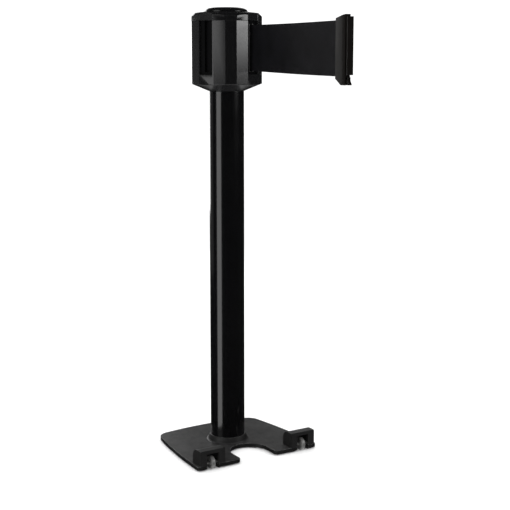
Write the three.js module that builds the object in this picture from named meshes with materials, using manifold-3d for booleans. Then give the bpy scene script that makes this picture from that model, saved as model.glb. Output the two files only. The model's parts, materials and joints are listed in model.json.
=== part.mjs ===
// Retractable belt stanchion: a flat cast base that nests round the next post, a straight
// tube, and a lobed head that holds a spring-driven spool of belt.
// Millimetres, +Z up. The origin is on the tube's axis at floor level, and -Y is the front.

import * as THREE from 'three';
import { mergeVertices } from 'three/addons/utils/BufferGeometryUtils.js';
import Module from 'manifold-3d';

const wasm = await Module();
wasm.setup();

// ---- driving dimensions -------------------------------------------------------------

const GAP = 0.3; // between pieces that touch or fit in each other

// base
const PAD_THICKNESS = 3;
const PAD_INSET = 6;
const PLATE_THICKNESS = 8;
const FRONT_Y = -135;
const FRONT_HALF = 150;
const BACK_Y = 114;
const BACK_HALF = 128;
const CUTOUT_HALF = 44; // nesting cut-out, also the radius of its round end
const CUTOUT_END_Y = -53;
const BOSS_RADIUS = 43.5; // raised round the tube, on a fillet
const BOSS_FILLET = 5;
const BOSS_TOP_RADIUS = 41;
const BOSS_LIP = 1.2; // rounding of the boss's top edge
const BOSS_HEIGHT = 13; // above the plate
const BOLT_RADIUS = 5;
const COUNTERBORE_RADIUS = 12.5;
const COUNTERBORE_TOP = PAD_THICKNESS + 7;
const PLATE_BOTTOM = PAD_THICKNESS;
const PLATE_TOP = PLATE_BOTTOM + PLATE_THICKNESS;
const TUBE_SEAT = PLATE_TOP + 4;

// wheels and their housings
const WHEEL_X = 114.5;
const WHEEL_Y = -126;
const WHEEL_RADIUS = 14;
const WHEEL_WIDTH = 9;
const WHEEL_Z = WHEEL_RADIUS + 0.5;
const AXLE_RADIUS = 3;
const HOUSING_HALF = 30;
const HOUSING_FRONT_Y = -135.5;
const HOUSING_DEPTH = 35;
const HOUSING_TOP = 43.5;
const WINDOW_HALF = 14;
const WINDOW_TOP = 36;
const WINDOW_BACK_Y = -108;
const SCREW_SPACING = 22; // housing screws, from the middle of a housing
const SCREW_Y = -110;
const SCREW_RADIUS = 2.5;
const SCREW_HEAD_RADIUS = 4.5;
const SCREW_SEAT = PAD_THICKNESS + 4;
const SCREW_TIP = 28;

// post
const TUBE_RADIUS = 38.1;
const TUBE_WALL = 2;
const TUBE_TOP = 794;
const BORE_RADIUS = TUBE_RADIUS - TUBE_WALL;

// head
const HEAD_TURN = THREE.MathUtils.degToRad(22.5); // the head is turned on the post
const CASING_TOP = 943;
const CONE_TOP = 810;
const CHANNEL_BOTTOM = 830;
const LOBE_RADIAL = 76; // middle facet of a lobe, from the axis
const LOBE_HALF = 12;
const LOBE_END_RADIAL = 64;
const LOBE_END_HALF = 37.5;
const CAVITY_RADIUS = 56;
const POCKET_HALF = 17.3; // pocket for a receiver in each channel
const POCKET_FLOOR = 58.5;
const NECK_BORE_RADIUS = 4.3; // for the screw that holds the head on its plug
const FLOOR_TOP = 804; // floor of the cavity at the axis, where the head screw sits
const LID_SKIRT_TOP = 956;
const LID_TOP = 963;
const LID_RIM_RADIUS = 69.5; // where the rim's chamfer meets the lid's top
const CAP_RADIUS = 46;
const CAP_TOP = 972;
const LID_SCREW_RADIUS = 2;
const LID_SCREW_SEAT = 959;

// receivers and belt exit
const RECEIVER_HALF = POCKET_HALF - GAP;
const RECEIVER_BACK = POCKET_FLOOR + GAP;
const RECEIVER_FRONT = 66.5;
const RECEIVER_WALL = 1.7;
const LIP_THICKNESS = 2.2;
const SLOT_HALF = 6.2;
const UNDERCUT_HALF = 8.5;
const SILL_HEIGHT = 5;
const EXIT_RADIUS = 64; // the belt swings about this point of the exit
const ROLLER_RADIUS = 3.5;
const ROLLER_OFFSET = 6.2;
const ROLLER_PIN_RADIUS = 1.5;
const EXIT_HALF = 10.4;

// belt and spool
const BELT_BOTTOM = 838;
const BELT_TOP = 934;
const BELT_THICKNESS = 1.2;
const BELT_OFF_NORMAL = THREE.MathUtils.degToRad(36);
const BELT_OUT = 500; // from the exit to the belt end
const BELT_START = 2;
const SPINDLE_RADIUS = 5;
const SPINDLE_TOP = 953;
const SPRING_CASE_BOTTOM = 815.5;
const SPRING_CASE_TOP = 833;
const SPOOL_CORE = 14;
const SPOOL_FLANGE = 44;
const ROLL_RADIUS = 25.6;

// belt end, measured along the belt from its rear
const END_LENGTH = 44;
const END_HALF = 7;
const END_TOP = 943.5;
const END_BOTTOM = 824;
const CLAMP_S = 11.5;
const CLAMP_RADIUS = 2;
const TENON_START = 33; // the tongue's tenon in the body
const TONGUE_FACE = 56;
const TONGUE_HALF = 5.5;
const TONGUE_BOTTOM = 841.5;
const TONGUE_TOP = 939.3;
const NECK_HALF = 2.8;
const NECK_BOTTOM = 845;
const NECK_TOP = 935;
const LATCH_S = 39;
const LATCH_Z = 831;
const LATCH_HALF = 2.5;
const LATCH_PIN_RADIUS = 1.2;
const LATCH_PIN_LENGTH = 9;

// ---- materials ----------------------------------------------------------------------

const finish = (color, roughness, metalness) => ({ color, roughness, metalness });
const CAST_BLACK = finish(0x2b2b2b, 0.6, 0.3);
const RUBBER = finish(0x141414, 0.9, 0);
const SATIN_PLASTIC = finish(0x24221f, 0.45, 0);
const GLOSS_PLASTIC = finish(0x0b0b0b, 0.2, 0);
const GLOSS_PAINT = finish(0x060606, 0.15, 0.2);
const STEEL = finish(0xc8c8c8, 0.25, 1);
const SPRING_STEEL = finish(0x55585c, 0.35, 1);
const ALUMINIUM = finish(0xa0a2a5, 0.4, 1);
const WEBBING = finish(0x1c1c1e, 0.9, 0);

// ---- solid helpers ------------------------------------------------------------------

function toSolid(geometry) {
  const bare = geometry.index ? geometry.toNonIndexed() : geometry.clone();
  bare.deleteAttribute('normal');
  bare.deleteAttribute('uv');
  const merged = mergeVertices(bare, 1e-4);
  return new wasm.Manifold(new wasm.Mesh({
    numProp: 3,
    vertProperties: new Float32Array(merged.attributes.position.array),
    triVerts: new Uint32Array(merged.index.array),
  }));
}

function toMesh(name, solid, look) {
  const { vertProperties, triVerts } = solid.getMesh();
  const geometry = new THREE.BufferGeometry();
  geometry.setAttribute('position', new THREE.BufferAttribute(vertProperties, 3));
  geometry.setIndex(new THREE.BufferAttribute(triVerts, 1));
  geometry.computeVertexNormals();
  const mesh = new THREE.Mesh(geometry, new THREE.MeshStandardMaterial(look));
  mesh.name = name;
  return mesh;
}

// A prism of a plan outline between two heights.
function prism(shape, bottom, top) {
  const geometry = new THREE.ExtrudeGeometry(shape, {
    depth: top - bottom,
    bevelEnabled: false,
    curveSegments: 14,
  });
  return toSolid(geometry.translate(0, 0, bottom));
}

function block(x0, x1, y0, y1, z0, z1) {
  const geometry = new THREE.BoxGeometry(x1 - x0, y1 - y0, z1 - z0);
  return toSolid(geometry.translate((x0 + x1) / 2, (y0 + y1) / 2, (z0 + z1) / 2));
}

// A solid of revolution about Z from [radius, height] points that start and end on the axis.
function turned(points, segments = 48) {
  const profile = points.map(([radius, height]) => new THREE.Vector2(radius, height));
  return toSolid(new THREE.LatheGeometry(profile, segments).rotateX(Math.PI / 2));
}

function disc(radius, bottom, top, segments = 48) {
  return turned([[0, bottom], [radius, bottom], [radius, top], [0, top]], segments);
}

function ring(inner, outer, bottom, top, segments = 48) {
  return disc(outer, bottom, top, segments).subtract(disc(inner, bottom - 1, top + 1, segments));
}

// A rod along X or Y, centred on (x, y, z).
function rodX(radius, length, x, y, z, segments = 24) {
  const geometry = new THREE.CylinderGeometry(radius, radius, length, segments);
  return toSolid(geometry.rotateZ(Math.PI / 2).translate(x, y, z));
}

function rodY(radius, length, x, y, z, segments = 20) {
  const geometry = new THREE.CylinderGeometry(radius, radius, length, segments);
  return toSolid(geometry.translate(x, y, z));
}

function polygon(points) {
  return new THREE.Shape(points.map(([x, y]) => new THREE.Vector2(x, y)));
}

// A side outline of [y, z] points, given thickness along X.
function profileAlongX(points, x0, x1) {
  const shape = points instanceof THREE.Shape ? points : polygon(points);
  const geometry = new THREE.ExtrudeGeometry(shape, {
    depth: x1 - x0,
    bevelEnabled: false,
    curveSegments: 8,
  });
  return toSolid(geometry.rotateX(Math.PI / 2).rotateZ(Math.PI / 2).translate(x0, 0, 0));
}

// A side outline of [x, z] points, given thickness along Y.
function profileAlongY(points, y0, y1) {
  const geometry = new THREE.ExtrudeGeometry(polygon(points), {
    depth: y1 - y0,
    bevelEnabled: false,
  });
  return toSolid(geometry.rotateX(Math.PI / 2).translate(0, y1, 0));
}

// ---- base ---------------------------------------------------------------------------

// The bowed plate outline with its round-ended nesting cut-out, drawn `inset` mm inside.
function baseOutline(inset) {
  const front = FRONT_Y + inset;
  const wide = FRONT_HALF - inset;
  const narrow = BACK_HALF - inset;
  const back = BACK_Y - inset;
  const mouth = CUTOUT_HALF + inset;
  const mouthRound = 9;
  const cornerRound = 6;
  const outline = new THREE.Shape();
  outline.moveTo(mouth + mouthRound, front);
  outline.lineTo(wide - cornerRound, front);
  outline.quadraticCurveTo(wide, front, wide, front + cornerRound);
  outline.quadraticCurveTo(wide - 3, -20, narrow, back - 32);
  outline.quadraticCurveTo(narrow - 5, back - 10, narrow - 30, back - 7);
  outline.quadraticCurveTo(0, back + 7, -narrow + 30, back - 7);
  outline.quadraticCurveTo(-narrow + 5, back - 10, -narrow, back - 32);
  outline.quadraticCurveTo(-wide + 3, -20, -wide, front + cornerRound);
  outline.quadraticCurveTo(-wide, front, -wide + cornerRound, front);
  outline.lineTo(-mouth - mouthRound, front);
  outline.quadraticCurveTo(-mouth, front, -mouth, front + mouthRound);
  outline.lineTo(-mouth, CUTOUT_END_Y - CUTOUT_HALF);
  outline.absarc(0, CUTOUT_END_Y - CUTOUT_HALF, mouth, Math.PI, 0, true);
  outline.lineTo(mouth, front + mouthRound);
  outline.quadraticCurveTo(mouth, front, mouth + mouthRound, front);
  return outline;
}

function wheelNotches(back, half) {
  const notch = (x) => block(x - half, x + half, FRONT_Y - 10, back, -1, PLATE_TOP + 1);
  return notch(-WHEEL_X).add(notch(WHEEL_X));
}

const SCREW_X = [
  -WHEEL_X - SCREW_SPACING, -WHEEL_X + SCREW_SPACING,
  WHEEL_X - SCREW_SPACING, WHEEL_X + SCREW_SPACING,
];

// Points of a quarter-circle arc in a [radius, height] profile, from one angle to another.
function arc(centreRadius, centreHeight, radius, fromAngle, toAngle, steps = 5) {
  const points = [];
  for (let step = 0; step <= steps; step += 1) {
    const angle = THREE.MathUtils.degToRad(fromAngle + (toAngle - fromAngle) * step / steps);
    points.push([centreRadius + radius * Math.cos(angle), centreHeight + radius * Math.sin(angle)]);
  }
  return points;
}

function makeBase() {
  const plate = prism(baseOutline(0), PLATE_BOTTOM, PLATE_TOP);
  const top = PLATE_TOP + BOSS_HEIGHT;
  const filletCentre = BOSS_RADIUS + BOSS_FILLET;
  const boss = turned([
    [0, PLATE_BOTTOM + 1], [filletCentre, PLATE_BOTTOM + 1],
    ...arc(filletCentre, PLATE_TOP + BOSS_FILLET, BOSS_FILLET, 270, 180),
    ...arc(BOSS_TOP_RADIUS - BOSS_LIP, top - BOSS_LIP, BOSS_LIP, 0, 90, 3),
    [0, top],
  ], 64);
  const socket = disc(TUBE_RADIUS + GAP, TUBE_SEAT, top + 1, 64);
  const boltHole = disc(BOLT_RADIUS + GAP, 0, TUBE_SEAT + 1, 24);
  const counterbore = disc(COUNTERBORE_RADIUS, 0, COUNTERBORE_TOP, 32);
  let base = plate.add(boss).subtract(socket).subtract(boltHole).subtract(counterbore);
  base = base.subtract(wheelNotches(WINDOW_BACK_Y, WINDOW_HALF));
  for (const x of SCREW_X) {
    const hole = disc(SCREW_RADIUS + GAP, 0, PLATE_TOP + 1, 16);
    const sink = disc(SCREW_HEAD_RADIUS + GAP, 0, SCREW_SEAT, 20);
    base = base.subtract(hole.add(sink).translate([x, SCREW_Y, 0]));
  }
  return toMesh('base_plate', base, CAST_BLACK);
}

function makeFloorPad() {
  const pad = prism(baseOutline(PAD_INSET), 0, PAD_THICKNESS - GAP);
  const notches = wheelNotches(WINDOW_BACK_Y + 2, WINDOW_HALF + 2);
  return toMesh('floor_pad', pad.subtract(notches), RUBBER);
}

function makeBaseFixings() {
  const washerTop = COUNTERBORE_TOP - GAP;
  const washerBottom = washerTop - 1.5;
  const headTop = washerBottom - GAP;
  const headHeight = 4.5;
  const plugTop = 46;
  const washer = ring(BOLT_RADIUS + GAP, COUNTERBORE_RADIUS - 1, washerBottom, washerTop, 32);
  const head = disc(8.5, headTop - headHeight, headTop, 6);
  const shank = disc(BOLT_RADIUS, headTop - 1, plugTop - 4, 24);
  const plug = ring(BOLT_RADIUS + GAP, BORE_RADIUS - GAP, TUBE_SEAT + GAP, plugTop, 48);
  return [
    toMesh('base_washer', washer, STEEL),
    toMesh('base_bolt', head.add(shank), STEEL),
    toMesh('post_foot_plug', plug, CAST_BLACK),
  ];
}

// ---- wheels -------------------------------------------------------------------------

// The housing's side outline in [y, z]: upright front, flat top, rounded top rear.
function housingSide() {
  const front = HOUSING_FRONT_Y;
  const rear = HOUSING_FRONT_Y + HOUSING_DEPTH;
  const bottom = PLATE_TOP + GAP;
  const rearRound = 17;
  const side = new THREE.Shape();
  side.moveTo(front, bottom);
  side.lineTo(rear, bottom);
  side.lineTo(rear, HOUSING_TOP - rearRound);
  side.absarc(rear - rearRound, HOUSING_TOP - rearRound, rearRound, 0, Math.PI / 2, false);
  side.lineTo(front + 2, HOUSING_TOP);
  side.lineTo(front, HOUSING_TOP - 2);
  return side;
}

function makeWheelUnit(name, x) {
  const low = x - HOUSING_HALF;
  const high = x + HOUSING_HALF;
  const window = block(x - WINDOW_HALF, x + WINDOW_HALF, FRONT_Y - 5, WINDOW_BACK_Y, 0, WINDOW_TOP);
  const axleLength = 2 * HOUSING_HALF - 6;
  let housing = profileAlongX(housingSide(), low, high).subtract(window);
  housing = housing.subtract(rodX(AXLE_RADIUS + GAP, axleLength + 2 * GAP, x, WHEEL_Y, WHEEL_Z));
  for (const screwX of [x - SCREW_SPACING, x + SCREW_SPACING]) {
    const hole = disc(SCREW_RADIUS + GAP, 0, SCREW_TIP + 2, 16);
    housing = housing.subtract(hole.translate([screwX, SCREW_Y, 0]));
  }
  const wheel = turned([
    [0, -WHEEL_WIDTH / 2], [WHEEL_RADIUS - 1.5, -WHEEL_WIDTH / 2],
    [WHEEL_RADIUS, 1 - WHEEL_WIDTH / 2], [WHEEL_RADIUS, WHEEL_WIDTH / 2 - 1],
    [WHEEL_RADIUS - 1.5, WHEEL_WIDTH / 2], [0, WHEEL_WIDTH / 2],
  ], 40).subtract(disc(AXLE_RADIUS + 0.1, -WHEEL_WIDTH, WHEEL_WIDTH, 24));
  const wheelMesh = toMesh(`wheel_${name}`, wheel, STEEL);
  wheelMesh.rotation.y = Math.PI / 2;
  wheelMesh.position.set(x, WHEEL_Y, WHEEL_Z);
  return [
    toMesh(`wheel_housing_${name}`, housing, SATIN_PLASTIC),
    toMesh(`wheel_axle_${name}`, rodX(AXLE_RADIUS, axleLength, x, WHEEL_Y, WHEEL_Z), STEEL),
    wheelMesh,
  ];
}

function makeHousingScrews() {
  const names = ['left_outer', 'left_inner', 'right_inner', 'right_outer'];
  return SCREW_X.map((x, index) => {
    const head = disc(SCREW_HEAD_RADIUS, PLATE_BOTTOM + GAP, SCREW_SEAT - GAP, 20);
    const screw = head.add(disc(SCREW_RADIUS, SCREW_SEAT - 1, SCREW_TIP, 16));
    return toMesh(`housing_screw_${names[index]}`, screw.translate([x, SCREW_Y, 0]), STEEL);
  });
}

// ---- post ---------------------------------------------------------------------------

function makePost() {
  const tube = ring(BORE_RADIUS, TUBE_RADIUS, TUBE_SEAT + GAP, TUBE_TOP, 64);
  const plug = ring(NECK_BORE_RADIUS, BORE_RADIUS - GAP, TUBE_TOP - 30, TUBE_TOP - GAP, 48);
  return [toMesh('post_tube', tube, GLOSS_PAINT), toMesh('head_plug', plug, ALUMINIUM)];
}

// ---- head ---------------------------------------------------------------------------

const QUARTERS = [0, 1, 2, 3];

// The lobed plan: a faceted lobe on each diagonal, and an upright channel between lobes.
function headOutline(channelFloor) {
  const points = [];
  for (const quarter of QUARTERS) {
    const channel = quarter * Math.PI / 2;
    const lobe = channel + Math.PI / 4;
    const place = (angle, radial, across) => points.push([
      radial * Math.cos(angle) - across * Math.sin(angle),
      radial * Math.sin(angle) + across * Math.cos(angle),
    ]);
    if (channelFloor) {
      place(channel, channelFloor, -POCKET_HALF);
      place(channel, channelFloor, POCKET_HALF);
    }
    place(lobe, LOBE_END_RADIAL, -LOBE_END_HALF);
    place(lobe, LOBE_RADIAL, -LOBE_HALF);
    place(lobe, LOBE_RADIAL, LOBE_HALF);
    place(lobe, LOBE_END_RADIAL, LOBE_END_HALF);
  }
  return polygon(points);
}

function makeCasing() {
  const bottom = TUBE_TOP + GAP;
  const above = CASING_TOP + 1;
  const beyond = LOBE_RADIAL + 6;
  const slopedUnderside = turned([
    [0, bottom], [TUBE_RADIUS + 0.6, bottom], [beyond, CONE_TOP + 2], [beyond, CASING_TOP],
    [0, CASING_TOP],
  ], 64);
  const cavity = turned([
    [0, FLOOR_TOP], [CAVITY_RADIUS / 2, FLOOR_TOP], [CAVITY_RADIUS, FLOOR_TOP + 11],
    [CAVITY_RADIUS, above], [0, above],
  ], 64);
  const neckBore = disc(NECK_BORE_RADIUS, bottom - 1, FLOOR_TOP + 1, 20);
  const pocket = block(
    -POCKET_HALF, POCKET_HALF, -beyond - 10, -POCKET_FLOOR, CHANNEL_BOTTOM, above,
  );
  const beltWindow = block(
    -EXIT_HALF, EXIT_HALF, -POCKET_FLOOR - 1, -POCKET_FLOOR / 2, BELT_BOTTOM - 4, BELT_TOP + 4,
  );
  let casing = prism(headOutline(0), bottom, CASING_TOP).intersect(slopedUnderside);
  casing = casing.subtract(cavity).subtract(neckBore).subtract(beltWindow);
  for (const quarter of QUARTERS) {
    casing = casing.subtract(pocket.rotate([0, 0, quarter * 90]));
  }
  return toMesh('head_casing', casing, GLOSS_PLASTIC);
}

// A receiver is an upright channel with two lips that hold a belt end's tongue.
function makeReceiver(name, quarter) {
  const bottom = CHANNEL_BOTTOM + GAP;
  const top = CASING_TOP - GAP;
  const lip = -RECEIVER_FRONT + LIP_THICKNESS;
  const floor = -RECEIVER_BACK - RECEIVER_WALL;
  const plan = polygon([
    [-RECEIVER_HALF, -RECEIVER_BACK], [-RECEIVER_HALF, -RECEIVER_FRONT],
    [-SLOT_HALF, -RECEIVER_FRONT], [-SLOT_HALF, lip],
    [-UNDERCUT_HALF, lip], [-UNDERCUT_HALF, floor],
    [UNDERCUT_HALF, floor], [UNDERCUT_HALF, lip],
    [SLOT_HALF, lip], [SLOT_HALF, -RECEIVER_FRONT],
    [RECEIVER_HALF, -RECEIVER_FRONT], [RECEIVER_HALF, -RECEIVER_BACK],
  ]);
  const sill = block(
    -RECEIVER_HALF, RECEIVER_HALF, -RECEIVER_FRONT, -RECEIVER_BACK, bottom, bottom + SILL_HEIGHT,
  );
  const receiver = toMesh(`receiver_${name}`, prism(plan, bottom, top).add(sill), SATIN_PLASTIC);
  receiver.rotation.z = quarter * Math.PI / 2;
  return receiver;
}

// The frame round the belt exit, with a roller on each side of the belt.
function makeExit() {
  const bottom = CHANNEL_BOTTOM + GAP;
  const top = CASING_TOP - GAP;
  const innerBottom = BELT_BOTTOM - 2;
  const innerTop = BELT_TOP + 2;
  const pinBottom = innerBottom - 3;
  const pinTop = innerTop + 3;
  const pinHole = disc(ROLLER_PIN_RADIUS + GAP, pinBottom - GAP, pinTop + GAP, 16);
  const pin = disc(ROLLER_PIN_RADIUS, pinBottom, pinTop, 16);
  const roller = ring(
    ROLLER_PIN_RADIUS + 0.1, ROLLER_RADIUS, innerBottom + GAP, innerTop - GAP, 24,
  );
  const opening = block(
    -EXIT_HALF, EXIT_HALF, -RECEIVER_FRONT - 1, -RECEIVER_BACK + 1, innerBottom, innerTop,
  );
  let frame = block(-RECEIVER_HALF, RECEIVER_HALF, -RECEIVER_FRONT, -RECEIVER_BACK, bottom, top)
    .subtract(opening);
  const meshes = [];
  for (const [name, side] of [['left', -1], ['right', 1]]) {
    const x = side * ROLLER_OFFSET;
    frame = frame.subtract(pinHole.translate([x, -EXIT_RADIUS, 0]));
    for (const mesh of [
      toMesh(`guide_roller_${name}`, roller, SATIN_PLASTIC),
      toMesh(`roller_pin_${name}`, pin, STEEL),
    ]) {
      mesh.position.set(x, -EXIT_RADIUS, 0);
      meshes.push(mesh);
    }
  }
  meshes.push(toMesh('exit_frame', frame, SATIN_PLASTIC));
  return meshes;
}

// The retracting spring is a flat strip wound in a spiral round the spindle.
function makePowerSpring(bottom, top) {
  const turns = 6;
  const stepsPerTurn = 20;
  const inner = SPINDLE_RADIUS + GAP + 0.6;
  const outer = 42;
  const strip = 0.8;
  const steps = turns * stepsPerTurn;
  const outside = [];
  const inside = [];
  for (let step = 0; step <= steps; step += 1) {
    const angle = step / stepsPerTurn * 2 * Math.PI;
    const radius = inner + (outer - inner) * step / steps;
    outside.push([(radius + strip) * Math.cos(angle), (radius + strip) * Math.sin(angle)]);
    inside.push([radius * Math.cos(angle), radius * Math.sin(angle)]);
  }
  const spiral = prism(polygon([...outside, ...inside.reverse()]), bottom, top);
  return toMesh('power_spring', spiral, SPRING_STEEL);
}

function makeSpringCase() {
  const bottom = SPRING_CASE_BOTTOM;
  const outer = 47;
  const wall = 2.5;
  const floor = 2;
  const hub = 10;
  const hubTop = bottom + 5;
  const springCase = disc(outer, bottom, SPRING_CASE_TOP, 48)
    .subtract(disc(outer - wall, bottom + floor, SPRING_CASE_TOP + 1, 48))
    .add(disc(hub, bottom + 1, hubTop, 32))
    .subtract(disc(SPINDLE_RADIUS + GAP, bottom + 1, hubTop + 1, 32));
  return [
    toMesh('spring_case', springCase, SATIN_PLASTIC),
    makePowerSpring(hubTop + GAP, SPRING_CASE_TOP - 1),
  ];
}

function makeSpool() {
  const threadHole = disc(LID_SCREW_RADIUS + GAP, SPINDLE_TOP - 20, SPINDLE_TOP + 1, 16);
  const spindle = disc(SPINDLE_RADIUS, SPRING_CASE_BOTTOM + 1 + GAP, SPINDLE_TOP, 32)
    .subtract(threadHole);
  const bottom = SPRING_CASE_TOP + GAP;
  const top = BELT_TOP + 4;
  const flange = 2;
  const spool = disc(SPOOL_FLANGE, bottom, bottom + flange, 48)
    .add(disc(SPOOL_CORE, bottom, top, 48))
    .add(disc(SPOOL_FLANGE, top - flange, top, 48))
    .subtract(disc(SPINDLE_RADIUS + 0.1, bottom - 1, top + 1, 32));
  const roll = ring(SPOOL_CORE + GAP, ROLL_RADIUS, BELT_BOTTOM, BELT_TOP, 48);
  return [
    toMesh('spindle', spindle, STEEL),
    toMesh('spool', spool, SATIN_PLASTIC),
    toMesh('belt_roll', roll, WEBBING),
  ];
}

// The stretch of belt inside the head, straight from the roll to the exit.
function makeBeltLead() {
  const start = ROLL_RADIUS + GAP + BELT_THICKNESS / 2;
  const reach = EXIT_RADIUS - BELT_START;
  const tangent = Math.sqrt(reach * reach - start * start);
  const lead = block(0, tangent, -BELT_THICKNESS / 2, BELT_THICKNESS / 2, BELT_BOTTOM, BELT_TOP);
  const mesh = toMesh('belt_lead', lead, WEBBING);
  const lean = Math.asin(start / reach);
  mesh.position.set(start * Math.cos(lean), -start * Math.sin(lean), 0);
  mesh.rotation.z = -Math.PI / 2 - lean;
  return mesh;
}

function makeLid() {
  const bottom = CASING_TOP + GAP;
  const top = LID_TOP + 1;
  const ledge = CAP_RADIUS + 1.5;
  const chamferRun = 12;
  const chamfer = turned([
    [0, bottom], [LID_RIM_RADIUS + chamferRun, bottom],
    [LID_RIM_RADIUS + chamferRun, LID_TOP - 3 - chamferRun], [LID_RIM_RADIUS, LID_TOP - 3],
    [ledge + 2, LID_TOP - 0.7], [ledge, LID_TOP], [0, LID_TOP],
  ], 64);
  const socketTop = SPINDLE_TOP + GAP;
  const bossBottom = SPINDLE_TOP - 3;
  const lid = prism(headOutline(LID_RIM_RADIUS + 1), bottom, LID_TOP).intersect(chamfer)
    .subtract(disc(CAVITY_RADIUS, bottom - 1, LID_SKIRT_TOP + 1, 48))
    .add(disc(9, bossBottom, LID_SKIRT_TOP + 2, 32))
    .subtract(disc(SPINDLE_RADIUS + GAP, bossBottom - 1, socketTop, 32))
    .subtract(disc(LID_SCREW_RADIUS + GAP, bossBottom, top, 16))
    .subtract(disc(6, LID_SCREW_SEAT, top, 24));
  const screw = disc(4.5, LID_SCREW_SEAT + GAP, LID_TOP - 1, 24)
    .add(disc(LID_SCREW_RADIUS, SPINDLE_TOP - 17, LID_SCREW_SEAT + 1, 16));
  return [toMesh('head_lid', lid, GLOSS_PLASTIC), toMesh('lid_screw', screw, STEEL)];
}

// The low domed cap that hides the lid's screw.
function makeCap() {
  const bottom = LID_TOP + GAP;
  const height = CAP_TOP - bottom;
  const cap = turned([
    [0, bottom], [CAP_RADIUS, bottom], [CAP_RADIUS, bottom + 0.12 * height],
    [0.93 * CAP_RADIUS, bottom + 0.4 * height], [0.82 * CAP_RADIUS, bottom + 0.7 * height],
    [0.65 * CAP_RADIUS, bottom + 0.92 * height], [0.43 * CAP_RADIUS, CAP_TOP], [0, CAP_TOP],
  ], 64);
  return toMesh('lid_cap', cap, GLOSS_PLASTIC);
}

function makeHeadScrew() {
  const radius = 4;
  const headRadius = 6.5;
  const headHeight = 6.5;
  const length = 36;
  const seat = FLOOR_TOP + GAP;
  const screw = disc(headRadius, seat, seat + headHeight, 24)
    .add(disc(radius, FLOOR_TOP - length, seat + 1, 20));
  return toMesh('head_screw', screw, STEEL);
}

// ---- belt and belt end, in a frame with +X along the belt -----------------------------

function makeBelt() {
  const half = BELT_THICKNESS / 2;
  const end = BELT_OUT + CLAMP_S - CLAMP_RADIUS - 0.5;
  return toMesh('belt_strap', block(BELT_START, end, -half, half, BELT_BOTTOM, BELT_TOP), WEBBING);
}

// The belt end's housing: a top that rises forwards, and a latch box at its lower front.
function makeEndBody() {
  const rearHalf = 4.6;
  const frontHalf = 4.6;
  const side = profileAlongY([
    [0, BELT_BOTTOM - 4], [7, BELT_BOTTOM - 4.5], [30, END_BOTTOM], [END_LENGTH, END_BOTTOM],
    [END_LENGTH, END_TOP], [0, END_TOP - 7],
  ], -END_HALF, END_HALF);
  const plan = prism(polygon([
    [0, -rearHalf], [5, -END_HALF], [35, -END_HALF], [END_LENGTH, -frontHalf],
    [END_LENGTH, frontHalf], [35, END_HALF], [5, END_HALF], [0, rearHalf],
  ]), END_BOTTOM - 1, END_TOP + 1);
  const slotBottom = BELT_BOTTOM - 0.5;
  const slotTop = BELT_TOP + 0.5;
  const beltSlot = block(-1, CLAMP_S - CLAMP_RADIUS, -1, 1, slotBottom, slotTop);
  const clampPocket = disc(CLAMP_RADIUS + GAP, slotBottom, slotTop, 20).translate([CLAMP_S, 0, 0]);
  const tenonHalf = NECK_HALF + GAP;
  const tenon = block(
    TENON_START, END_LENGTH + 1, -tenonHalf, tenonHalf, NECK_BOTTOM - GAP, NECK_TOP + GAP,
  );
  const latchHalf = LATCH_HALF + GAP;
  const latchBox = block(
    LATCH_S - 6, END_LENGTH + 1, -latchHalf, latchHalf, END_BOTTOM - 1, LATCH_Z + 6,
  );
  const pinHole = rodY(
    LATCH_PIN_RADIUS + 0.15, LATCH_PIN_LENGTH + 2 * GAP, LATCH_S, 0, LATCH_Z, 16,
  );
  const body = side.intersect(plan).subtract(beltSlot).subtract(clampPocket).subtract(tenon)
    .subtract(latchBox).subtract(pinHole);
  return toMesh('belt_end_body', body, SATIN_PLASTIC);
}

// The flange that a receiver holds, on a neck that is let into the belt end's housing.
function makeTongue() {
  const thickness = 3;
  const rear = TONGUE_FACE - thickness;
  const neck = block(TENON_START + GAP, rear + 1, -NECK_HALF, NECK_HALF, NECK_BOTTOM, NECK_TOP);
  const flange = block(rear, TONGUE_FACE, -TONGUE_HALF, TONGUE_HALF, TONGUE_BOTTOM, TONGUE_TOP);
  return toMesh('belt_end_tongue', neck.add(flange), SATIN_PLASTIC);
}

function makeLatch() {
  const half = 3;
  const arm = [
    [-3.5, -half], [4, -half], [10, -2], [13, -3], [18, -6.5], [19, -5], [14.5, -0.5],
    [13, 2], [13, 6], [10.6, 8.5], [10.2, 2.5], [4, half], [-3.5, half],
  ];
  const outline = arm.map(([s, height]) => [LATCH_S + s, LATCH_Z + height]);
  const bore = rodY(LATCH_PIN_RADIUS + 0.1, 2 * END_HALF, LATCH_S, 0, LATCH_Z, 16);
  const hook = profileAlongY(outline, -LATCH_HALF, LATCH_HALF).subtract(bore);
  const pin = rodY(LATCH_PIN_RADIUS, LATCH_PIN_LENGTH, LATCH_S, 0, LATCH_Z, 16);
  return [toMesh('latch_hook', hook, SATIN_PLASTIC), toMesh('latch_pin', pin, STEEL)];
}

function makeBeltEnd() {
  const end = new THREE.Group();
  const clampBar = toMesh('belt_clamp_bar', disc(CLAMP_RADIUS, BELT_BOTTOM, BELT_TOP, 20), STEEL);
  clampBar.position.x = CLAMP_S;
  end.add(makeEndBody(), makeTongue(), ...makeLatch(), clampBar);
  end.position.x = BELT_OUT;
  return end;
}

// ---- assembly -----------------------------------------------------------------------

const head = new THREE.Group();
head.rotation.z = HEAD_TURN;
head.add(
  makeCasing(),
  makeHeadScrew(),
  makeReceiver('right', 1),
  makeReceiver('back', 2),
  makeReceiver('left', 3),
  ...makeExit(),
  ...makeSpringCase(),
  ...makeSpool(),
  makeBeltLead(),
  ...makeLid(),
  makeCap(),
);

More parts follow.
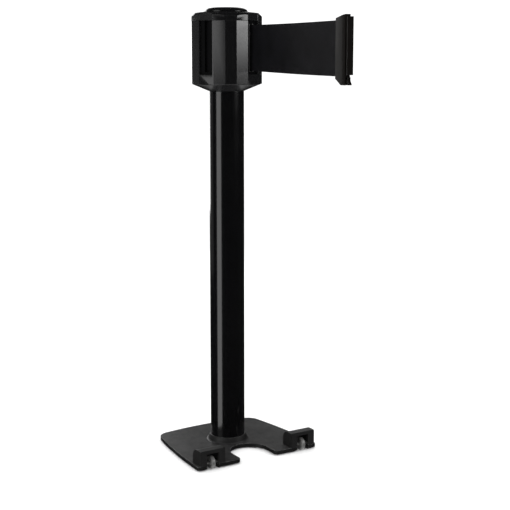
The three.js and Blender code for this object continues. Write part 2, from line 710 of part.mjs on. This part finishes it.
const beltLine = new THREE.Group();
beltLine.position.set(0, -EXIT_RADIUS, 0);
beltLine.rotation.z = -Math.PI / 2 - BELT_OFF_NORMAL;
beltLine.add(makeBelt(), makeBeltEnd());
head.add(beltLine);

const stanchion = new THREE.Group();
stanchion.add(
  makeBase(),
  makeFloorPad(),
  ...makeBaseFixings(),
  ...makeWheelUnit('left', -WHEEL_X),
  ...makeWheelUnit('right', WHEEL_X),
  ...makeHousingScrews(),
  ...makePost(),
  head,
);

export default stanchion;
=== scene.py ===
"""Looks of the retractable belt stanchion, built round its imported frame. Metres, +Z up, -Y front."""

import json
import math

import bmesh
import bpy
from mathutils import Matrix, Vector


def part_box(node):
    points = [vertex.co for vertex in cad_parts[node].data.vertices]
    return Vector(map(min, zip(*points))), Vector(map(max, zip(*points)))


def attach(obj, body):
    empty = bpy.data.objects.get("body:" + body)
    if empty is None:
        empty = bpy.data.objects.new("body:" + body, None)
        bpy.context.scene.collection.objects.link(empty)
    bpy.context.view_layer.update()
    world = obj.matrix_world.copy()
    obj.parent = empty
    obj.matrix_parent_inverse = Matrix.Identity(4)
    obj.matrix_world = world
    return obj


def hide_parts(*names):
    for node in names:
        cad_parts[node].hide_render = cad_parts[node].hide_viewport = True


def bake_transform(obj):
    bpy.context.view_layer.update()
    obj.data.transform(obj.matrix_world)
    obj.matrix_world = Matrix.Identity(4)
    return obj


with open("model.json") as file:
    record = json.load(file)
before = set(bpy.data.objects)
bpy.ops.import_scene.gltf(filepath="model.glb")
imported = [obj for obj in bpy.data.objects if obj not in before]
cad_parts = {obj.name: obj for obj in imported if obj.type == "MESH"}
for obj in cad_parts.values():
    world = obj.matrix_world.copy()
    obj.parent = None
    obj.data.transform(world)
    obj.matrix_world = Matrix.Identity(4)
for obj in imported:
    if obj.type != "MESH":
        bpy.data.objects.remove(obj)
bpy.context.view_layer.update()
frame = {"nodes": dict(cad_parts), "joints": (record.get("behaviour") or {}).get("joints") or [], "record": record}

MM = 0.001
JOINTS = {joint["name"]: joint for joint in frame["joints"]}
BODY_OF = {
    node: body
    for body, nodes in frame["record"]["behaviour"]["bodies"].items()
    for node in nodes
}
SLOT_OF = {row["node"]: row["material_slot"] for row in frame["record"]["subparts"]}


# ---- places taken from the frame ----------------------------------------------------

EXIT = Vector(JOINTS["belt_swing"]["pos_m"])
ALONG = Vector(JOINTS["belt_pull"]["axis"]).normalized()
ACROSS = Vector((-ALONG.y, ALONG.x, 0))
BELT_HEADING = math.atan2(ALONG.y, ALONG.x)


# ---- camera, light and floor --------------------------------------------------------

CAMERA_PLACE = (-1.2807, -2.2208, 0.8895)
CAMERA_YAW = math.radians(31.354)
CAMERA_PITCH = math.radians(9.109)
CAMERA_LENS = 82.88
CAMERA_SHIFT = -0.04
DIFFUSE_WORLD = 1.2
GLOSSY_WORLD = 0.012
GLOSSY_FLOOR = 0.7
FLOOR_FADE = (-0.42, -0.7)  # heights of a direction between which the floor's tone comes in


def make_camera():
    data = bpy.data.cameras.new("camera")
    data.lens = CAMERA_LENS
    data.shift_y = CAMERA_SHIFT
    camera = bpy.data.objects.new("camera", data)
    camera.location = CAMERA_PLACE
    camera.rotation_euler = (math.pi / 2 - CAMERA_PITCH, 0, -CAMERA_YAW)
    bpy.context.scene.collection.objects.link(camera)
    bpy.context.scene.camera = camera


def make_softbox(name, bearing, distance, width, low, high, radiance):
    """An upright rectangular softbox, bearing degrees to the right of the camera as the post sees it."""
    angle = math.radians(bearing) - CAMERA_YAW
    toward = Vector((math.sin(angle), -math.cos(angle), 0))
    height = high - low
    data = bpy.data.lights.new(name, "AREA")
    data.shape = "RECTANGLE"
    data.size = width
    data.size_y = height
    data.energy = radiance * math.pi * width * height
    light = bpy.data.objects.new(name, data)
    light.location = toward * distance + Vector((0, 0, (low + high) / 2))
    light.rotation_euler = toward.to_track_quat("Z", "Y").to_euler()
    light.visible_camera = False
    bpy.context.scene.collection.objects.link(light)


def make_world():
    """White to the camera and to matt surfaces. In reflections it is dark, but for the pale floor."""
    world = bpy.data.worlds.new("studio")
    world.use_nodes = True
    nodes, links = world.node_tree.nodes, world.node_tree.links
    background = nodes["Background"]
    background.inputs["Color"].default_value = (1, 1, 1, 1)
    direction = nodes.new("ShaderNodeSeparateXYZ")
    links.new(nodes.new("ShaderNodeTexCoord").outputs["Generated"], direction.inputs[0])
    below = nodes.new("ShaderNodeMapRange")
    below.interpolation_type = "SMOOTHSTEP"
    below.inputs["From Min"].default_value = FLOOR_FADE[0]
    below.inputs["From Max"].default_value = FLOOR_FADE[1]
    below.inputs["To Min"].default_value = GLOSSY_WORLD
    below.inputs["To Max"].default_value = GLOSSY_FLOOR
    links.new(direction.outputs["Z"], below.inputs["Value"])
    strength = nodes.new("ShaderNodeMix")
    strength.data_type = "FLOAT"
    strength.inputs["A"].default_value = DIFFUSE_WORLD
    links.new(nodes.new("ShaderNodeLightPath").outputs["Is Glossy Ray"], strength.inputs["Factor"])
    links.new(below.outputs["Result"], strength.inputs["B"])
    links.new(strength.outputs["Result"], background.inputs["Strength"])
    bpy.context.scene.world = world


def make_floor():
    """A pale floor that reflections and shadow rays pass, so that a softbox can reach below it."""
    mesh = bpy.data.meshes.new("floor")
    reach = 30.0
    corners = [(-reach, -reach, 0), (reach, -reach, 0), (reach, reach, 0), (-reach, reach, 0)]
    mesh.from_pydata(corners, [], [(0, 1, 2, 3)])
    floor = bpy.data.objects.new("floor", mesh)
    floor.visible_glossy = False
    floor.visible_shadow = False
    bpy.context.scene.collection.objects.link(floor)
    paint = bpy.data.materials.new("floor_paint")
    paint.use_nodes = True
    shader = paint.node_tree.nodes["Principled BSDF"]
    shader.inputs["Base Color"].default_value = (0.94, 0.94, 0.94, 1)
    shader.inputs["Roughness"].default_value = 0.9
    shader.inputs["Specular IOR Level"].default_value = 0.0
    mesh.materials.append(paint)


# ---- materials ----------------------------------------------------------------------

NOISE_LOW, NOISE_HIGH = 0.3, 0.7  # where nearly all of a noise's values lie
PATCH_SCALE = 70.0
PATCH_LEAST = 0.35  # the least share of the painted light within a marked face
THREAD = 1.1 * MM  # from one warp or weft thread of the belt to the next


class Graph:
    """A material's node tree, with short calls for the nodes that these materials use."""

    def __init__(self, name):
        self.material = bpy.data.materials.new(name)
        self.material.use_nodes = True
        self.nodes = self.material.node_tree.nodes
        self.links = self.material.node_tree.links
        self.shader = self.nodes["Principled BSDF"]
        self.place = self.nodes.new("ShaderNodeTexCoord").outputs["Object"]

    def link(self, value, socket):
        if isinstance(value, bpy.types.NodeSocket):
            self.links.new(value, socket)
        else:
            socket.default_value = value

    def mapped(self, turn=0.0, shift=(0, 0, 0)):
        node = self.nodes.new("ShaderNodeMapping")
        node.inputs["Rotation"].default_value = (0, 0, turn)
        node.inputs["Location"].default_value = shift
        self.links.new(self.place, node.inputs["Vector"])
        return node.outputs["Vector"]

    def noise(self, scale, detail):
        node = self.nodes.new("ShaderNodeTexNoise")
        node.inputs["Scale"].default_value = scale
        node.inputs["Detail"].default_value = detail
        self.links.new(self.place, node.inputs["Vector"])
        return node.outputs["Fac"]

    def math(self, operation, first, second=0.0, third=0.0):
        node = self.nodes.new("ShaderNodeMath")
        node.operation = operation
        for value, socket in zip((first, second, third), node.inputs):
            self.link(value, socket)
        return node.outputs[0]

    def remap(self, value, low, high):
        """Spreads a noise's usual values over the range from low to high."""
        node = self.nodes.new("ShaderNodeMapRange")
        node.inputs["From Min"].default_value = NOISE_LOW
        node.inputs["From Max"].default_value = NOISE_HIGH
        node.inputs["To Min"].default_value = low
        node.inputs["To Max"].default_value = high
        self.links.new(value, node.inputs["Value"])
        return node.outputs["Result"]

    def blend(self, share, first, second):
        node = self.nodes.new("ShaderNodeMix")
        node.data_type = "RGBA"
        self.link(share, node.inputs["Factor"])
        self.link((*first, 1), node.inputs["A"])
        self.link((*second, 1), node.inputs["B"])
        return node.outputs["Result"]

    def mark(self, name):
        """A mark from 0 to 1 written on each face of the mesh, and 0 where the mesh has none."""
        node = self.nodes.new("ShaderNodeAttribute")
        node.attribute_name = name
        return node.outputs["Fac"]

    def patches(self):
        return self.remap(self.noise(PATCH_SCALE, 4.0), PATCH_LEAST, 1)

    def lighten(self, tone, mark, level):
        """Lightens marked faces in uneven patches: a painted highlight on upper rounded edges, and painted top
        light on faces that look up.
        """
        share = self.math("MULTIPLY", self.mark(mark), self.patches())
        node = self.nodes.new("ShaderNodeMix")
        node.data_type = "RGBA"
        self.link(share, node.inputs["Factor"])
        self.link(tone, node.inputs["A"])
        self.link((level, level, level, 1), node.inputs["B"])
        return node.outputs["Result"]

    def bump(self, height, strength, distance):
        node = self.nodes.new("ShaderNodeBump")
        node.inputs["Strength"].default_value = strength
        node.inputs["Distance"].default_value = distance
        self.links.new(height, node.inputs["Height"])
        self.links.new(node.outputs["Normal"], self.shader.inputs["Normal"])


def surface(name, colour, roughness, metallic=0.0, spread=0.05, mottle=0.15,
            grain=500.0, relief=0.1, depth=0.1 * MM, specular=0.5, coat=0.0, edges=0.0, painted_top_light=0.0,
            recess=0.0):
    """A moulded, cast, painted or metal finish: grain in the bump, uneven colour and roughness, and painted light
    on upper edges and tops where asked.
    """
    graph = Graph(name)
    shader = graph.shader
    shader.inputs["Metallic"].default_value = metallic
    shader.inputs["Specular IOR Level"].default_value = specular
    shader.inputs["Coat Weight"].default_value = coat
    shader.inputs["Coat Roughness"].default_value = 0.06
    cloudy = graph.noise(18.0, 5.0)
    fine = graph.noise(grain, 4.0)
    dark = tuple(channel * (1 - mottle) for channel in colour)
    light = tuple(channel * (1 + mottle) for channel in colour)
    tone = graph.blend(graph.remap(cloudy, 0, 1), dark, light)
    # painted top light: faces lightened in patches by how far they look up, as if lit from above
    if painted_top_light:
        tone = graph.lighten(tone, "upward", painted_top_light)
    # painted highlight: the faces of upper rounded edges lightened in patches
    if edges:
        tone = graph.lighten(tone, "rim", edges)
    graph.link(tone, shader.inputs["Base Color"])
    uneven = graph.math("MULTIPLY_ADD", fine, 0.5, graph.math("MULTIPLY", cloudy, 0.5))
    rough = graph.remap(uneven, roughness - spread, roughness + spread)
    if recess:
        rough = graph.math("MULTIPLY_ADD", graph.mark("recess"), recess, rough)
    graph.link(rough, shader.inputs["Roughness"])
    graph.bump(fine, relief, depth)
    return graph.material


def webbing(name):
    """Tight plain-woven polyester: warp threads along the belt, weft threads up it."""
    graph = Graph(name)
    shader = graph.shader
    shader.inputs["Sheen Weight"].default_value = 0.01
    shader.inputs["Sheen Roughness"].default_value = 0.4
    shader.inputs["Specular IOR Level"].default_value = 0.05
    axes = graph.nodes.new("ShaderNodeSeparateXYZ")
    graph.links.new(graph.mapped(turn=-BELT_HEADING), axes.inputs[0])
    wave = 2 * math.pi / THREAD
    along = graph.math("SINE", graph.math("MULTIPLY", axes.outputs["X"], wave))
    up = graph.math("SINE", graph.math("MULTIPLY", axes.outputs["Z"], wave))
    crossing = graph.math("MULTIPLY", along, up)
    fuzz = graph.noise(2500.0, 2.0)
    cloudy = graph.noise(30.0, 4.0)
    height = graph.math("MULTIPLY_ADD", fuzz, 0.6, crossing)
    tone = graph.math("MULTIPLY_ADD", crossing, 0.12, cloudy)
    graph.link(
        graph.blend(graph.remap(tone, 0, 1), (0.0018, 0.0017, 0.0023), (0.0036, 0.0034, 0.0046)),
        shader.inputs["Base Color"],
    )
    graph.link(graph.remap(fuzz, 0.62, 0.85), shader.inputs["Roughness"])
    graph.bump(height, 0.35, 0.15 * MM)
    return graph.material


def turned_steel(name, axis_place):
    """Bright-plated steel with fine rings left by the lathe, about an axle along X."""
    graph = Graph(name)
    shader = graph.shader
    shader.inputs["Metallic"].default_value = 0.6
    rings = graph.nodes.new("ShaderNodeTexWave")
    rings.wave_type = "RINGS"
    rings.rings_direction = "X"
    rings.inputs["Scale"].default_value = 700.0
    rings.inputs["Distortion"].default_value = 0.6
    graph.links.new(graph.mapped(shift=tuple(-axis_place)), rings.inputs["Vector"])
    cloudy = graph.noise(120.0, 4.0)
    graph.link(graph.blend(graph.remap(cloudy, 0, 1), (0.13, 0.13, 0.128), (0.21, 0.21, 0.206)),
               shader.inputs["Base Color"])
    graph.link(graph.remap(cloudy, 0.32, 0.46), shader.inputs["Roughness"])
    graph.bump(rings.outputs["Fac"], 0.12, 0.05 * MM)
    return graph.material


def make_materials():
    return {
        # the cast base gets a painted highlight on its upper rounded edges and painted top light on faces that
        # look up
        "cast_base": surface("cast_base", (0.004, 0.004, 0.0039), 0.44, spread=0.14, mottle=0.5,
                             grain=1400.0, relief=0.4, depth=0.2 * MM, specular=0.2,
                             edges=0.5, painted_top_light=0.034),
        "rubber_pad": surface("rubber_pad", (0.012, 0.012, 0.012), 0.8, grain=900.0, relief=0.3),
        "steel": surface("steel", (0.55, 0.55, 0.54), 0.3, metallic=1.0, grain=900.0),
        "polished_steel": surface("polished_steel", (0.7, 0.7, 0.69), 0.2, metallic=1.0),
        "spring_steel": surface("spring_steel", (0.1, 0.11, 0.13), 0.35, metallic=1.0),
        "aluminium": surface("aluminium", (0.5, 0.5, 0.5), 0.35, metallic=1.0),
        "gloss_paint": surface("gloss_paint", (0.001, 0.001, 0.0012), 0.15, spread=0.03,
                               grain=260.0, relief=0.03, depth=0.05 * MM, coat=0.2),
        # the gloss plastic gets a faint painted highlight on its upper rounded edges
        "gloss_plastic": surface("gloss_plastic", (0.003, 0.003, 0.0033), 0.2, spread=0.04,
                                 grain=420.0, relief=0.04, depth=0.05 * MM, edges=0.02,
                                 recess=0.3),
        # the satin plastic gets a painted highlight on its upper rounded edges
        "satin_plastic": surface("satin_plastic", (0.0045, 0.0045, 0.0045), 0.38, spread=0.06,
                                 grain=1600.0, relief=0.15, depth=0.1 * MM, specular=0.5,
                                 edges=0.09),
        "receiver_plastic": surface("receiver_plastic", (0.0026, 0.0026, 0.0028), 0.5,
                                    spread=0.06, grain=1500.0, relief=0.12, depth=0.1 * MM,
                                    specular=0.02),
        "clip_plastic": surface("clip_plastic", (0.0042, 0.0036, 0.0031), 0.45, spread=0.06,
                                grain=1900.0, relief=0.2, depth=0.1 * MM, specular=0.04),
        "webbing": webbing("webbing"),
    }


# ---- mesh helpers -------------------------------------------------------------------

SMOOTH_ANGLE = math.radians(32)
TURNED_UP = 0.2  # how far up a rounded edge's face looks to count as an upper edge, which gets the painted highlight
ROUNDED = 1  # material index that marks the faces of a rounded edge until they are marked by name


def mark_faces(mesh, name, marked):
    mark = mesh.attributes.new(name, "FLOAT", "FACE")
    mark.data.foreach_set("value", [float(value) for value in marked])


def as_object(name, work, look, node=None):
    """Turns a bmesh into a smooth-shaded object, which stands for a CAD node if one is named."""
    mesh = bpy.data.meshes.new(name)
    bmesh.ops.recalc_face_normals(work, faces=work.faces)
    rounded = [face.material_index == ROUNDED for face in work.faces]
    for face in work.faces:
        face.material_index = 0
    work.to_mesh(mesh)
    work.free()
    mesh.shade_smooth()
    mesh.set_sharp_from_angle(angle=SMOOTH_ANGLE)
    rises = [max(0.0, face.normal.z) for face in mesh.polygons]
    # face marks for the painted light: how far each face looks up, and which rounded-edge faces look up
    mark_faces(mesh, "upward", rises)
    mark_faces(mesh, "rim", [edge and rise > TURNED_UP for edge, rise in zip(rounded, rises)])
    mesh.materials.append(look)
    piece = bpy.data.objects.new(name, mesh)
    bpy.context.scene.collection.objects.link(piece)
    weighted = piece.modifiers.new("weighted", "WEIGHTED_NORMAL")
    weighted.keep_sharp = True
    if node:
        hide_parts(node)
        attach(piece, BODY_OF[node])
    return piece


def round_edges(work, width, angle, chosen=None, segments=3):
    """Rounds the edges that turn more than angle degrees, and that chosen(edge) accepts."""
    limit = math.radians(angle)
    edges = [
        edge for edge in work.edges
        if len(edge.link_faces) == 2 and edge.calc_face_angle() > limit
        and (chosen is None or chosen(edge))
    ]
    bmesh.ops.bevel(work, geom=edges, offset=width, offset_type="OFFSET", segments=segments,
                    profile=0.5, affect="EDGES", clamp_overlap=True, material=ROUNDED)


def shape_of(node):
    """A CAD node's shape with its triangles joined into flat faces, ready for rounding."""
    work = bmesh.new()
    work.from_mesh(frame["nodes"][node].data)
    bmesh.ops.remove_doubles(work, verts=work.verts, dist=0.002 * MM)
    bmesh.ops.dissolve_limit(work, angle_limit=math.radians(0.5), verts=work.verts,
                             edges=work.edges)
    return work


def refined(node, look, width, angle=28, first_rounds=()):
    work = shape_of(node)
    for chosen, first_width, first_angle in first_rounds:
        round_edges(work, first_width, first_angle, chosen, segments=5)
    round_edges(work, width, angle)
    return as_object(node + "_finished", work, look, node)


def lathe(profile, segments=128):
    """A solid of revolution about Z from (radius, height) points, closed on itself."""
    work = bmesh.new()
    turn = 2 * math.pi / segments
    rings = [
        [work.verts.new((r * math.cos(turn * k), r * math.sin(turn * k), z)) for r, z in profile]
        for k in range(segments)
    ]
    count = len(profile)
    for k, ring in enumerate(rings):
        following = rings[(k + 1) % segments]
        for i in range(count):
            j = (i + 1) % count
            work.faces.new((ring[i], following[i], following[j], ring[j]))
    bmesh.ops.remove_doubles(work, verts=work.verts, dist=1e-7)
    return work


def arc(centre, radius, start, stop, steps=8):
    """Points of an arc in a (radius, height) profile, angles in degrees."""
    return [
        (centre[0] + radius * math.cos(math.radians(start + (stop - start) * k / steps)),
         centre[1] + radius * math.sin(math.radians(start + (stop - start) * k / steps)))
        for k in range(steps + 1)
    ]


# ---- pieces -------------------------------------------------------------------------


def make_tube(look):
    low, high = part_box("post_tube")
    outer = high.x
    wall = 2 * MM
    soft = 0.5 * MM
    profile = [
        (outer - wall, low.z), (outer, low.z),
        *arc((outer - soft, high.z - soft), soft, 0, 90, 4),
        (outer - wall, high.z),
    ]
    as_object("tube_finished", lathe(profile, 160), look, "post_tube")


def make_cap(look):
    """The round cap: a low rim that rolls over into a shallow dome with a flat middle."""
    low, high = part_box("lid_cap")
    radius = high.x
    height = high.z - low.z
    flat = 0.43 * radius
    soft = 0.3 * MM
    dome = [
        (flat + (radius - soft - flat) * math.cos(math.radians(a)),
         low.z + 0.12 * height + 0.88 * height * math.sin(math.radians(a)))
        for a in range(0, 91, 5)
    ]
    profile = [(0, low.z), (radius - soft, low.z), (radius, low.z + soft),
               (radius, low.z + 0.1 * height), *dome, (0, high.z)]
    as_object("cap_finished", lathe(profile, 128), look, "lid_cap")


def make_wheel(side):
    """A turned steel roller: crowned tread, dished sides and a raised hub."""
    node = f"wheel_{side}"
    low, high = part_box(node)
    centre = (low + high) / 2
    half = (high.x - low.x) / 2
    radius = (high.z - low.z) / 2
    bore = 3.1 * MM
    hub = 6.0 * MM
    rim = radius - 3.2 * MM
    dish = 1.0 * MM
    flank = [(bore, half), (hub, half), (hub + 0.5 * MM, half - dish), (rim - 0.5 * MM, half - dish),
             (rim, half), (radius - 1.5 * MM, half), (radius - 0.5 * MM, half - 0.6 * MM),
             (radius - 0.15 * MM, half - 1.6 * MM)]
    profile = flank + [(radius, 0)] + [(r, -z) for r, z in reversed(flank)]
    work = lathe(profile, 96)
    work.transform(Matrix.Translation(centre) @ Matrix.Rotation(math.pi / 2, 4, "Y"))
    as_object(f"{node}_finished", work, turned_steel(f"turned_{side}", centre), node)


def make_belt(look):
    """The drawn-out belt: webbing with thicker selvedges, a small sag and small ripples."""
    low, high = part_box("belt_strap")
    start = 2 * MM
    end = (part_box("belt_clamp_bar")[0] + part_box("belt_clamp_bar")[1]) / 2
    length = (end - EXIT).dot(ALONG) - 2.4 * MM - start
    middle, half = (low.z + high.z) / 2, (high.z - low.z) / 2
    body_half, hem_half, least_half = 0.52 * MM, 0.62 * MM, 0.2 * MM
    hem_start, hem_turn = 0.93, 0.8
    steps, slices = 28, 150
    section = []
    for side, order in ((1, 1), (-1, -1)):
        for k in range(steps + 1):
            share = -1 + 2 * k / steps
            near_hem = max(0.0, (abs(share) - hem_start) / (1 - hem_start))
            swell = math.sin(math.pi * min(near_hem, hem_turn) / hem_turn)
            thick = body_half + (hem_half - body_half) * swell
            thick *= math.sqrt(max(0.0, 1 - near_hem ** 4)) if near_hem > hem_turn else 1.0
            section.append((side * max(thick, least_half), order * share * half))
    work = bmesh.new()
    rings = []
    for k in range(slices + 1):
        share = k / slices
        free = math.sin(math.pi * share)
        drift = free * (0.5 * MM * math.sin(5.3 * share + 0.6))
        sag = 0.8 * MM * free
        place = EXIT + ALONG * (start + length * share)
        ring = []
        for thick, height in section:
            ripple = free * 0.25 * MM * math.sin(9 * share + 2.2 * height / half)
            point = place + ACROSS * (thick + drift + ripple)
            ring.append(work.verts.new((point.x, point.y, middle + height - sag)))
        rings.append(ring)
    for ring, following in zip(rings, rings[1:]):
        for i in range(len(section)):
            j = (i + 1) % len(section)
            work.faces.new((ring[i], ring[j], following[j], following[i]))
    work.faces.new(rings[0])
    work.faces.new(reversed(rings[-1]))
    belt = as_object("belt_finished", work, look)
    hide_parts("belt_strap")
    belt.visible_glossy = False
    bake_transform(belt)


def make_belt_roll(look):
    """The wound belt, each turn standing a little above or below the next."""
    low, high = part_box("belt_roll")
    outer = high.x
    inner = 14.3 * MM
    turns = 9
    pitch = (outer - inner) / turns
    top, bottom = [], []
    for k in range(turns):
        lift = 0.35 * MM * math.sin(2.4 * k)
        for r in (inner + pitch * (k + 0.08), inner + pitch * (k + 0.92)):
            top.append((r, high.z - 0.4 * MM + lift))
            bottom.append((r, low.z + 0.4 * MM + lift))
        top.append((inner + pitch * (k + 1), high.z - 1.2 * MM))
        bottom.append((inner + pitch * (k + 1), low.z + 1.2 * MM))
    as_object("belt_roll_finished", lathe(bottom + top[::-1], 96), look, "belt_roll")


def make_base(look):
    work = shape_of("base_plate")
    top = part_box("wheel_housing_left")[0].z - 0.3 * MM
    clear_of_boss = 52 * MM

    def on_outline(edge):
        return all(
            abs(v.co.z - top) < 0.05 * MM and v.co.xy.length > clear_of_boss for v in edge.verts
        )

    round_edges(work, 2.6 * MM, 40, on_outline, segments=4)
    round_edges(work, 0.5 * MM, 40)
    as_object("base_plate_finished", work, look, "base_plate")


def make_casing(look):
    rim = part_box("head_casing")[0].z + 17 * MM
    wide = 66 * MM

    def on_lower_rim(edge):
        return all(v.co.z < rim and v.co.xy.length > wide for v in edge.verts)

    casing = refined("head_casing", look, 0.5 * MM, 20, [(on_lower_rim, 1.6 * MM, 30)])
    outward = Vector((EXIT.x, EXIT.y, 0)).normalized()
    sideways = Vector((-outward.y, outward.x, 0))

    channel_half, channel_floor, channel_mouth = 17.5 * MM, 58 * MM, 71.6 * MM
    channel_foot = 829 * MM

    def in_channel(face):
        for out, side in ((outward, sideways), (sideways, outward)):
            reach = abs(face.center.dot(out))
            if abs(face.center.dot(side)) < channel_half and channel_floor < reach:
                return reach < channel_mouth and face.center.z > channel_foot
        return False

    mark_faces(casing.data, "recess", [in_channel(face) for face in casing.data.polygons])


EDGE_WIDTHS = {
    "floor_pad": 0.5, "wheel_housing_left": 0.6, "wheel_housing_right": 0.6,
    "head_lid": 0.4, "receiver_left": 0.35, "receiver_back": 0.35, "receiver_right": 0.35,
    "exit_frame": 0.4, "belt_end_body": 0.4, "belt_end_tongue": 0.3, "latch_hook": 0.3,
    "base_bolt": 0.3, "base_washer": 0.2, "post_foot_plug": 0.4, "head_plug": 0.4,
    "head_screw": 0.3, "lid_screw": 0.2, "spring_case": 0.4, "spool": 0.3, "spindle": 0.3,
    "housing_screw_left_outer": 0.2, "housing_screw_left_inner": 0.2,
    "housing_screw_right_inner": 0.2, "housing_screw_right_outer": 0.2,
    "wheel_axle_left": 0.3, "wheel_axle_right": 0.3, "guide_roller_left": 0.3,
    "guide_roller_right": 0.3, "roller_pin_left": 0.2, "roller_pin_right": 0.2,
    "latch_pin": 0.15, "belt_clamp_bar": 0.3, "power_spring": 0.1, "belt_lead": 0.2,
}

# name, bearing in degrees, distance, width, foot, top and radiance
SOFTBOXES = [
    ("softbox_left", -52, 2.0, 1.15, -0.9, 2.2, 2.1),
    ("softbox_far_left", -116, 2.0, 1.2, 0.0, 2.2, 0.13),
    ("softbox_right", 70, 2.0, 0.9, 0.86, 1.3, 7.2),  # a taller one also whitens the lid from behind at rest
    ("softbox_back_left", 207, 2.4, 1.4, 0.2, 1.8, 2.9),
    ("softbox_back_right", 172, 2.4, 0.6, 0.3, 1.8, 0.5),
]

materials = make_materials()
make_camera()
make_world()
make_floor()
for name, *setting in SOFTBOXES:
    make_softbox(name, *setting)

for node, width in EDGE_WIDTHS.items():
    refined(node, materials[SLOT_OF[node]], width * MM)
make_base(materials["cast_base"])
make_casing(materials["gloss_plastic"])
make_tube(materials["gloss_paint"])
make_cap(materials["gloss_plastic"])
for side in ("left", "right"):
    make_wheel(side)
make_belt(materials["webbing"])
make_belt_roll(materials["webbing"])

bpy.context.scene.view_settings.view_transform = "Standard"
